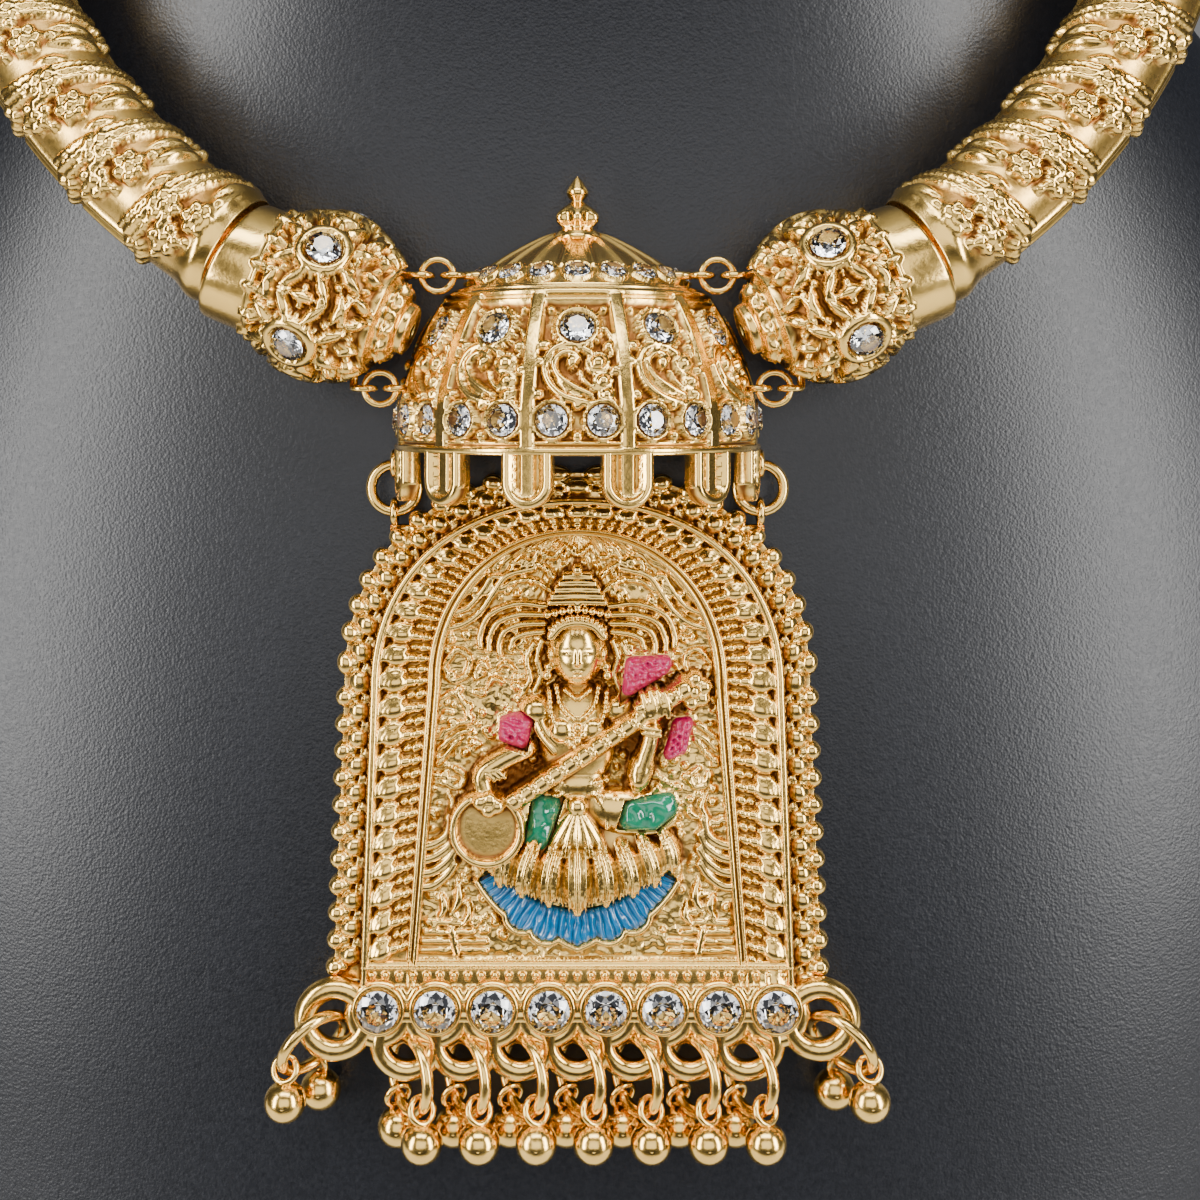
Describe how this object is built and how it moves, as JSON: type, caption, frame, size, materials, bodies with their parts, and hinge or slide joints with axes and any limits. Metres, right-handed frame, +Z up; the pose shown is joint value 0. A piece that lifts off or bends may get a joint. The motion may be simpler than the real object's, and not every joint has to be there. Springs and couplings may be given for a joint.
{
  "type": "temple jewellery necklace on a neck bust",
  "caption": "Rigid gilt collar with ball ends and a domed, arched pendant showing a seated musician in relief, resting on a black leatherette neck bust.",
  "frame": {"origin": "on the flat foot of the bust, below the neck axis", "axes": "+Z up, -Y toward the viewer who faces the pendant, +X to the viewer's right"},
  "size_m": [0.196, 0.134, 0.256],
  "materials": {
    "gold": "antique gilt brass, satin with polished edges and brown patina in the recesses",
    "stone": "clear cut rhinestone with a foiled back",
    "enamel_pink": "coarse glossy pink enamel",
    "enamel_green": "glossy sea green enamel",
    "enamel_blue": "glossy turquoise enamel",
    "leatherette": "black grained leatherette with a soft sheen"
  },
  "bodies": {
    "root": {"bust": "leatherette", "collar_left": "gold", "collar_right": "gold", "back_clasp": "gold", "ball_left": "gold", "ball_right": "gold", "ball_stones_left": "stone", "ball_stones_right": "stone", "link_left_upper": "gold", "link_left_lower": "gold", "link_right_upper": "gold", "link_right_lower": "gold", "dome": "gold", "dome_rim_stones": "stone", "dome_panel_stones": "stone", "dome_cap_stones": "stone", "side_ring_left": "gold", "side_ring_right": "gold", "pendant_plate": "gold", "figure_panel": "gold", "enamel_pink": "enamel_pink", "enamel_green": "enamel_green", "enamel_blue": "enamel_blue", "bar_stone_1": "stone", "bar_stone_2": "stone", "bar_stone_3": "stone", "bar_stone_4": "stone", "bar_stone_5": "stone", "bar_stone_6": "stone", "bar_stone_7": "stone", "bar_stone_8": "stone", "jump_ring_1": "gold", "jump_ring_2": "gold", "jump_ring_3": "gold", "jump_ring_4": "gold", "jump_ring_5": "gold", "jump_ring_6": "gold", "jump_ring_7": "gold", "jump_ring_8": "gold", "jump_ring_9": "gold", "drop_1a": "gold", "drop_1b": "gold", "drop_2a": "gold", "drop_2b": "gold", "drop_3a": "gold", "drop_3b": "gold", "drop_4a": "gold", "drop_4b": "gold", "drop_5a": "gold", "drop_5b": "gold", "drop_6a": "gold", "drop_6b": "gold", "drop_7a": "gold", "drop_7b": "gold", "drop_8a": "gold", "drop_8b": "gold", "drop_9a": "gold", "drop_9b": "gold"}
  },
  "joints": []
}
